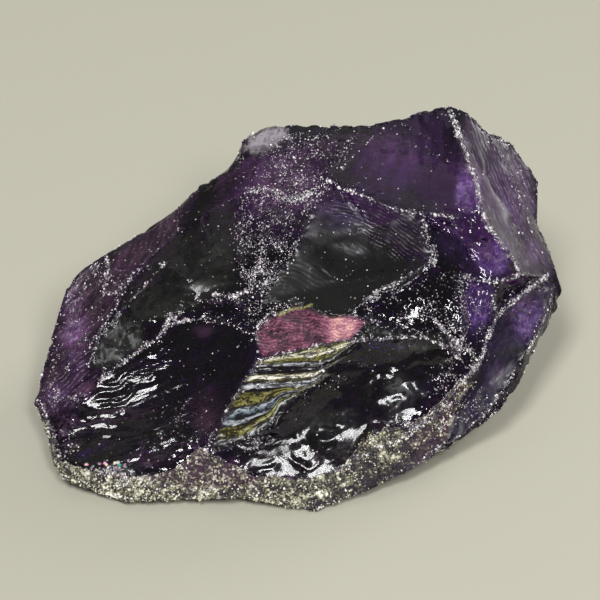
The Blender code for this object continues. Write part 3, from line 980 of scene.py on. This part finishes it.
class StonePattern:
    """The noises and patterns that the stone's colours, gloss and relief share."""

    def __init__(self, graph):
        mark = graph.attribute
        self.where = graph.place()
        self.fine = graph.noise(self.where, 0.10 * MM, 2.0, 0.6)
        self.medium = graph.noise(self.where, 0.45 * MM, 3.0, 0.6)
        self.speck_gap, self.speck_pick = graph.cells(self.where, 0.20 * MM)
        self.crust_gap, self.crust_pick = graph.cells(self.where, 0.095 * MM)
        self.rough = mark("grain").most(mark("rim")).most(mark("ridge") * 0.8)
        self.add_streaks(graph)
        self.add_hatching(graph)
        self.add_cover(graph)

    def add_streaks(self, graph):
        """Cloudy streaks, which follow the rings where a scar has them."""
        mark = graph.attribute
        cloudy = graph.noise(self.where, 0.7 * MM, 3.0, 0.62, 1.5).step(0.36, 0.66)
        along = graph.vector(mark("waves") * 0.45, mark("row") * 0.02, mark("column") * 0.02)
        brushed = graph.noise(along, 1.0, 4.0, 0.62).step(0.38, 0.64)
        share = (mark("ringed") * 0.9).clamped()
        self.streaks = cloudy * (1.0 - share) + brushed * share

    def add_hatching(self, graph):
        """The fine waves of the rings, and the painted highlights on their broken crests."""
        mark = graph.attribute
        broad = graph.noise(self.where, 2.2 * MM, 2.0, 0.5)
        self.hatch = (mark("waves") + graph.noise(self.where, 0.9 * MM, 1.0) * 1.8).wave()
        self.ringed = mark("ringed") * (self.medium * 0.6 + broad * 0.4).step(0.38, 0.60)
        broken = (self.medium * 0.4 + self.fine * 0.6).step(0.42, 0.58)
        # Painted highlights along the crests of the fine waves
        self.crests = mark("crests") * self.hatch.step(0.45, 1.0) * broken * 0.62

    def add_cover(self, graph):
        """Specks, crust, painted rainbow glints, the wine tint with the violet's painted glow,
        veins and the painted grey reflection: how far each hides the glass.
        """
        mark = graph.attribute
        violet = mark("violet")
        picked = (self.speck_pick + 0.30 * mark("grain")).step(0.93, 1.02)
        self.specks = (0.27 - self.speck_gap).step(0.0, 0.12) * picked
        crust = mark("rim") * 1.1 + (self.medium - 0.5) * 1.3 + (self.fine - 0.5) * 0.6
        self.crust = crust.step(0.30, 0.55) * mark("rim").step(0.0, 0.12)
        # Painted rainbow glints on the rim's pale lump
        self.fire = mark("fire") * (0.55 - self.speck_gap).step(0.0, 0.2)
        # The wine tint, and the violet painted brighter to stand for light shining through
        tinted = violet * (0.14 + 0.58 * self.streaks) + mark("wine") * (0.10 + 0.42 * self.streaks)
        self.tint_and_glow = tinted.clamped()
        vein_gap = abs(graph.noise(self.where, 0.42 * MM, 2.0, 0.5, 0.6) - 0.5)
        self.veins = (1.0 - vein_gap.step(0.004, 0.022)) * (violet - 0.35).step(0.0, 0.4)
        # The painted grey reflection over the glass, streaked
        self.smoke = (mark("smoke") * (0.55 + 0.7 * self.streaks)).clamped()


def whitened(graph, pattern):
    """How far specks, veils, crust, painted highlights on the crests, painted rainbow glints and
    crushed ridges whiten each place.
    """
    mark = graph.attribute
    dot_gap, dot_pick = graph.cells(pattern.where, 0.11 * MM)
    dots = (0.30 - dot_gap).step(0.0, 0.15) * (dot_pick + 0.28 * mark("grain")).step(0.97, 1.05)
    veil = (pattern.medium * 0.5 + pattern.fine * 0.5).step(0.48, 0.66)
    veil = (mark("grain") * 0.55 + mark("shelf") * 0.12) * veil
    ridge = mark("ridge") * (pattern.fine + 0.2 * pattern.medium).step(0.52, 0.70)
    white = (veil * 0.28).most(pattern.specks).most(dots * 0.9).most(ridge * 0.35)
    white = white.most(mark("pale") * (0.35 + 0.4 * pattern.streaks)).most(pattern.crust * 0.92)
    return white.most(pattern.crests).most(pattern.fire * 1.4).clamped()


def white_colour(graph, pattern, settings):
    """The whitened places: lilac dust, rosy specks, mauve painted highlights on the crests, sugary
    crust and painted rainbow glints.
    """
    mark = graph.attribute
    dust = graph.mix(mark("pale"), graph.ramp(pattern.medium, DUST_TONES), (0.50, 0.44, 0.50))
    rosy = pattern.specks * pattern.speck_pick.step(0.5, 0.9) * 0.5
    dust = graph.mix(rosy.clamped(), dust, (0.95, 0.70, 0.80))
    # Mauve painted highlights on the ripple crests
    dust = graph.mix((pattern.crests * 2.2).clamped(), dust, (0.34, 0.26, 0.38))
    cloudy = graph.noise(pattern.where, 0.9 * MM, 2.0, 0.6)
    tone = pattern.crust_pick * 0.60 + (pattern.fine - 0.5) * 0.5 + (pattern.medium - 0.5) * 0.9
    tone = tone + (cloudy - 0.5) * 1.9 + 0.14 - mark("dim") * 0.36
    frost = tuple(settings.frost_colour)
    crust = graph.ramp(tone, [
        (0.16, (0.030, 0.022, 0.030)), (0.40, (0.085, 0.080, 0.068)), (0.58, (0.20, 0.19, 0.12)),
        (0.78, tuple(0.72 * share for share in frost)), (0.92, frost), (1.0, (1.0, 0.98, 0.90)),
    ])
    plum = (mark("plum") * 1.5).clamped() * cloudy.step(0.34, 0.50)
    plum = plum * (1.0 - pattern.crust_pick.step(0.55, 0.95) * 0.85)
    crust = graph.mix((plum * 0.95).clamped(), crust, (0.055, 0.025, 0.048))
    white = graph.mix(pattern.crust, dust, crust)
    return graph.mix(pattern.fire.step(0.15, 0.5), white, graph.ramp(pattern.speck_pick, RAINBOW))


def glow_and_reflection_colour(graph, pattern):
    """The violet and wine tint, with painted light where the violet is strongest and its bright
    veins, and the painted grey reflection over it.
    """
    mark = graph.attribute
    violet = mark("violet")
    tinted_glow = graph.mix(violet, (0.050, 0.024, 0.085), (0.095, 0.038, 0.235))
    tinted_glow = graph.mix(mark("wine") * 0.8, tinted_glow, (0.150, 0.065, 0.118))
    # Painted light: pale lilac patches where the violet is strongest
    lit = violet ** 2 * pattern.medium.step(0.40, 0.68) * 0.8
    tinted_glow = graph.mix(lit.clamped(), tinted_glow, (0.30, 0.20, 0.43))
    tinted_glow = graph.mix((pattern.veins * 0.5).clamped(), tinted_glow, (0.62, 0.36, 0.58))
    # Grey to black tones of the painted reflection
    reflection_tone = mark("smoke_pale") * (0.35 + 1.1 * (pattern.medium - 0.5) + 0.85 * pattern.streaks)
    share = pattern.smoke.step(0.0, 0.25) - pattern.tint_and_glow * 1.2
    return graph.mix(share.clamped(), tinted_glow, graph.ramp(reflection_tone, REFLECTION_TONES))


def rose_colour(graph, pattern, settings):
    """The rose window, painted light shining through: rows of light and dark, brightest at its
    glow.
    """
    drift = graph.noise(pattern.where, 1.0 * MM, 3.0) * 7.6
    rows = (graph.attribute("row") * (1.0 / WINDOW_ROWS) + drift).wave()
    glow = graph.attribute("glow") * 0.26
    return graph.ramp(pattern.medium * 0.50 + rows * 0.055 + pattern.fine * 0.42 + glow - 0.05, [
        (0.27, (0.012, 0.005, 0.010)), (0.39, (0.080, 0.026, 0.050)),
        (0.51, tuple(settings.window_colour)), (0.63, (0.42, 0.18, 0.24)),
        (0.74, (0.80, 0.40, 0.37)), (0.86, (0.98, 0.70, 0.60)),
    ])


def step_reflection_colour(graph, pattern):
    """The stacked steps: bent bands of olive, cream and grey painted as reflections inside the thin
    ledges, with fine plates and painted glints, broken by dark gaps in places.
    """
    where = pattern.where
    bent = graph.attribute("band") + (graph.noise(where, 0.9 * MM, 2.0, 0.5) - 0.5) * 0.045
    bent = bent + (graph.noise(where, 0.28 * MM, 3.0, 0.6) - 0.5) * 0.022
    along = graph.vector(graph.attribute("column") * 0.05, bent * 46.0, 0.0)
    plates = graph.noise(along, 1.0, 3.0, 0.6, 0.6)
    gaps = graph.noise(where, 0.30 * MM, 3.0, 0.62, 1.2)
    dark_breaks = gaps.step(0.48, 0.60).most(plates.step(0.50, 0.58)) * 0.92
    bands = graph.mix(dark_breaks.clamped(), graph.ramp(bent, STEP_REFLECTIONS), (0.012, 0.010, 0.012))
    # Painted glints along the plates of the steps
    painted_glints = (0.40 - plates).step(0.0, 0.06) * 0.6
    return graph.mix(painted_glints.clamped(), bands, (0.72, 0.73, 0.70))


def stone_relief(graph, pattern):
    """A normal for pits, specks, sugary crust and the waves of the rings."""
    uneven = pattern.medium * 0.5 + pattern.fine * 0.32 + pattern.specks * 0.4
    height = uneven * (pattern.rough * 0.9 + 0.12) + pattern.fine * pattern.rough * 0.8
    height = height + pattern.crust * pattern.crust_gap * 3.4
    return graph.relief(0.45, 0.03 * MM, height + pattern.hatch * pattern.ringed * 0.30)


def quartz_material(settings):
    """Clear violet quartz with frosted and sugary places, a rose window of painted light, banded
    steps of painted reflections, and painted grey reflections and highlights.
    """
    graph = Graph("violet_quartz_glass")
    mark = graph.attribute
    pattern = StonePattern(graph)
    white = whitened(graph, pattern)
    thread = mark("thread") * pattern.fine.step(0.36, 0.52)
    whitened_colour = white_colour(graph, pattern, settings)
    colour = graph.mix(white.step(0.05, 0.4), glow_and_reflection_colour(graph, pattern), whitened_colour)
    # The rose window: painted light shining through
    colour = graph.mix(mark("window"), colour, rose_colour(graph, pattern, settings))
    # The stacked steps: painted reflections inside the ledges
    colour = graph.mix(mark("steps"), colour, step_reflection_colour(graph, pattern))
    # The olive thread: a painted reflection
    colour = graph.mix(thread, colour, (0.30, 0.285, 0.11))
    cover = white.most(pattern.tint_and_glow).most(pattern.veins * 0.5).most(pattern.smoke)
    cover = cover.most(mark("window") * 0.88).most(mark("steps") * 0.92).most(thread).clamped()

    relief = stone_relief(graph, pattern)
    satin = mark("satin")
    dull = 0.25 * pattern.rough * pattern.medium + 0.50 * satin * (0.6 + 0.4 * pattern.streaks)
    glass = graph.shader({
        "Base Color": (1.0, 1.0, 1.0), "Transmission Weight": 1.0, "IOR": settings.refraction,
        "Roughness": (0.015 + dull).clamped(), "Normal": relief,
    })
    skin = graph.shader({
        "Base Color": colour, "Specular IOR Level": 0.12, "IOR": settings.refraction,
        "Roughness": (0.10 + 0.34 * pattern.rough + 0.58 * satin).clamped(), "Normal": relief,
    })
    surface = graph.node("ShaderNodeMixShader", None, {0: cover, 1: glass, 2: skin})
    depth = graph.node("ShaderNodeVolumeAbsorption", None, {
        "Color": tuple(settings.absorb_colour), "Density": settings.absorb_density,
    })
    return graph.finished(surface.outputs["Shader"], Volume=depth.outputs["Volume"])


def crumb_material(name, tones):
    """Crushed quartz: each grain has its own tone, from dark and clear to bright white."""
    graph = Graph(name)
    where = graph.place()
    shade = graph.noise(where, 0.08 * MM, 2.0, 0.6)
    return graph.finished(graph.shader({
        "Base Color": graph.ramp(graph.attribute("tone") + (shade - 0.5) * 0.35, tones),
        "Roughness": (0.10 + 0.4 * shade).clamped(), "IOR": QUARTZ_REFRACTION,
        "Normal": graph.relief(0.5, 0.01 * MM, graph.noise(where, 0.03 * MM)),
    }))


def paint(mesh, mark, values):
    """Gives each point of a mesh a number."""
    painted = mesh.attributes.new(mark, "FLOAT", "POINT")
    painted.data.foreach_set("value", np.ascontiguousarray(values, np.float32))


def placed(name, mesh, material):
    """A finished piece of a mesh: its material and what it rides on."""
    mesh.materials.append(material)
    piece = bpy.data.objects.new(name, mesh)
    bpy.context.scene.collection.objects.link(piece)
    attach(piece, BODY)
    return piece


def chip_shape():
    """A small block, one unit across."""
    lump = bmesh.new()
    bmesh.ops.create_cube(lump, size=1.0)
    return lump


def grain_shape():
    """A small round lump, about one unit across."""
    lump = bmesh.new()
    bmesh.ops.create_icosphere(lump, subdivisions=1, radius=0.55)
    return lump


def shape_arrays(lump):
    """A lump as arrays of its vertices and triangles."""
    bmesh.ops.triangulate(lump, faces=[face for face in lump.faces if len(face.verts) > 3])
    verts = np.array([vert.co for vert in lump.verts])
    faces = np.array([[vert.index for vert in face.verts] for face in lump.faces])
    lump.free()
    return verts, faces


def unit_rows(rows):
    """Each row scaled to length 1."""
    return rows / np.linalg.norm(rows, axis=1)[:, None]


def turns(chance, count):
    """Rotation matrices that point every way."""
    w, x, y, z = (part for part in unit_rows(chance.normal(size=(count, 4))).T)
    return np.array([
        [1 - 2 * (y * y + z * z), 2 * (x * y - z * w), 2 * (x * z + y * w)],
        [2 * (x * y + z * w), 1 - 2 * (x * x + z * z), 2 * (y * z - x * w)],
        [2 * (x * z - y * w), 2 * (y * z + x * w), 1 - 2 * (x * x + y * y)],
    ]).transpose(2, 0, 1)


def scattered(name, surface, weights, count, size, lump, seed, material):
    """One joined mesh of crumbs, set where the weights are high."""
    chance = np.random.default_rng(seed)
    weights = np.clip(weights, 0.0, None)
    weights = weights * smooth_step(surface.points[:, 2], 0.02 * MM, 0.12 * MM)
    chosen = chance.choice(len(weights), size=count, p=weights / weights.sum())
    verts, faces = shape_arrays(lump)
    scales = size * np.minimum(3.0, chance.lognormal(0.0, 0.45, size=count))
    stretch = chance.uniform(0.45, 1.35, size=(count, 1, 3))
    jitter = 1.0 + chance.uniform(-0.28, 0.28, size=(count, len(verts), 3))
    shapes = np.einsum("nvi,nij->nvj", verts[None] * jitter * stretch, turns(chance, count))
    shapes *= scales[:, None, None]
    normals = surface.normals[chosen]
    slides = chance.normal(size=(count, 3)) * 0.05 * MM
    depths = scales * CRUMB_SINK + (slides * normals).sum(1)
    centres = surface.points[chosen] + slides - normals * depths[:, None]
    points = (shapes + centres[:, None]).reshape(-1, 3)
    offsets = np.arange(count)[:, None, None] * len(verts)
    mesh = bpy.data.meshes.new(name)
    mesh.from_pydata(
        np.clip(points, CAD_LOW, CAD_HIGH).tolist(), [],
        (faces[None] + offsets).reshape(-1, 3).tolist(),
    )
    paint(mesh, "tone", np.repeat(chance.uniform(size=count), len(verts)))
    return placed(name, mesh, material)


def make_floor(settings):
    """A plain floor just below the stone."""
    plane = bmesh.new()
    bmesh.ops.create_grid(plane, x_segments=1, y_segments=1, size=settings.floor_size / 2)
    bmesh.ops.translate(plane, vec=(0.0, 0.0, -0.02 * MM), verts=plane.verts[:])
    mesh = bpy.data.meshes.new("floor")
    plane.to_mesh(mesh)
    plane.free()
    graph = Graph("plain_floor")
    soft = graph.noise(graph.place(), 0.004, 2.0)
    mesh.materials.append(graph.finished(graph.shader({
        "Base Color": tuple(settings.floor_colour), "Roughness": 0.38 + 0.06 * soft,
    })))
    floor = bpy.data.objects.new("floor", mesh)
    bpy.context.scene.collection.objects.link(floor)


def make_sky(settings):
    """Even pale light from all round."""
    world = bpy.data.worlds.new("room")
    world.use_nodes = True
    backdrop = world.node_tree.nodes["Background"]
    backdrop.inputs["Color"].default_value = (0.86, 0.84, 0.78, 1.0)
    backdrop.inputs["Strength"].default_value = settings.sky_strength
    bpy.context.scene.world = world


def make_lamp(name, place, aim, size, power, colour):
    """One soft rectangular lamp."""
    light = bpy.data.lights.new(name, "AREA")
    light.shape = "RECTANGLE"
    light.size, light.size_y = size
    light.energy = power
    light.color = colour
    lamp = bpy.data.objects.new(name, light)
    lamp.location = place
    lamp.rotation_euler = (Vector(aim) - Vector(place)).to_track_quat("-Z", "Y").to_euler()
    bpy.context.scene.collection.objects.link(lamp)


def make_camera():
    """The camera at the oblique view."""
    eye, _, _, forward = view_axes()
    camera = bpy.data.objects.new("camera", bpy.data.cameras.new("camera"))
    camera.location = eye
    camera.rotation_euler = forward.to_track_quat("-Z", "Y").to_euler()
    camera.data.sensor_width = SENSOR_WIDTH
    camera.data.lens = SENSOR_WIDTH * VIEW_DISTANCE / (VIEW_WIDTH * VIEW_UNIT)
    camera.data.clip_start = 0.005
    bpy.context.scene.collection.objects.link(camera)
    bpy.context.scene.camera = camera


# The stone's surface, which its operator leaves for that of the chips
SHARED = {}


class AMETHYST_OT_stone(bpy.types.Operator):
    """Makes the stone's fine surface and its quartz, in place of the plain solid"""

    bl_idname = "amethyst.stone"
    bl_label = "Dress the stone"

    def execute(self, context):
        settings = context.scene.amethyst_stone
        stone = solid_copy()
        ridges = ridge_samples(stone)
        refine(stone)
        surface = Surface(stone, ridges)
        surface.relax(0.10 * MM)
        mark_regions(surface)
        sculpt(surface, settings)
        mesh = bpy.data.meshes.new("rough_stone")
        stone.to_mesh(mesh)
        for mark, values in surface.marks.items():
            paint(mesh, mark, values)
        piece = placed("rough_stone", mesh, quartz_material(settings))
        piece.data.shade_smooth()
        piece.data.set_sharp_from_angle(angle=SHARP_ANGLE)
        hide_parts(NODE)
        SHARED["surface"] = surface
        return {"FINISHED"}


class AMETHYST_OT_chips(bpy.types.Operator):
    """Lines the ridges with chips, the rim with grit and the faces with specks"""

    bl_idname = "amethyst.chips"
    bl_label = "Add chips and grit"

    def execute(self, context):
        settings = context.scene.amethyst_chips
        surface = SHARED["surface"]
        marks = surface.marks
        white = crumb_material("crushed_quartz", CHIP_TONES)
        yellow = crumb_material("sugary_quartz", GRIT_TONES)
        scattered(
            "ridge_chips", surface, marks["chips"], settings.chip_count, settings.chip_size,
            chip_shape(), 41, white,
        )
        scattered(
            "rim_grit", surface, marks["grit"], settings.grit_count, settings.grit_size,
            grain_shape(), 43, yellow,
        )
        scattered(
            "face_specks", surface, marks["dust"] ** 3, settings.dust_count, settings.dust_size,
            chip_shape(), 47, white,
        )
        return {"FINISHED"}


class AMETHYST_OT_stage(bpy.types.Operator):
    """Makes the plain floor, the soft light and the camera"""

    bl_idname = "amethyst.stage"
    bl_label = "Set the stage"

    def execute(self, context):
        settings = context.scene.amethyst_stage
        make_floor(settings)
        make_sky(settings)
        for lamp in LAMPS:
            make_lamp(*lamp)
        make_camera()
        context.scene.view_settings.view_transform = "Standard"
        return {"FINISHED"}


class AMETHYST_PT_panel(bpy.types.Panel):
    """Lists the stone's settings and steps."""

    bl_idname = "AMETHYST_PT_panel"
    bl_label = "Rough amethyst"
    bl_space_type = "VIEW_3D"
    bl_region_type = "UI"
    bl_category = "Amethyst"

    def draw(self, context):
        scene = context.scene
        for settings in (scene.amethyst_stone, scene.amethyst_chips, scene.amethyst_stage):
            for name in settings.bl_rna.properties.keys():
                if name not in ("rna_type", "name"):
                    self.layout.prop(settings, name)
        for operator in (AMETHYST_OT_stone, AMETHYST_OT_chips, AMETHYST_OT_stage):
            self.layout.operator(operator.bl_idname)


CLASSES = (
    StoneSettings, ChipSettings, StageSettings, AMETHYST_OT_stone, AMETHYST_OT_chips,
    AMETHYST_OT_stage, AMETHYST_PT_panel,
)


def register():
    """Adds the classes and the settings of the scene."""
    for made in CLASSES:
        bpy.utils.register_class(made)
    bpy.types.Scene.amethyst_stone = bpy.props.PointerProperty(type=StoneSettings)
    bpy.types.Scene.amethyst_chips = bpy.props.PointerProperty(type=ChipSettings)
    bpy.types.Scene.amethyst_stage = bpy.props.PointerProperty(type=StageSettings)


def unregister():
    """Takes the settings and the classes away again."""
    del bpy.types.Scene.amethyst_stage
    del bpy.types.Scene.amethyst_chips
    del bpy.types.Scene.amethyst_stone
    for made in reversed(CLASSES):
        bpy.utils.unregister_class(made)


def main():
    """Makes the stage, the stone and its chips."""
    register()
    bpy.ops.amethyst.stage()
    bpy.ops.amethyst.stone()
    bpy.ops.amethyst.chips()


if __name__ == "__main__":
    main()
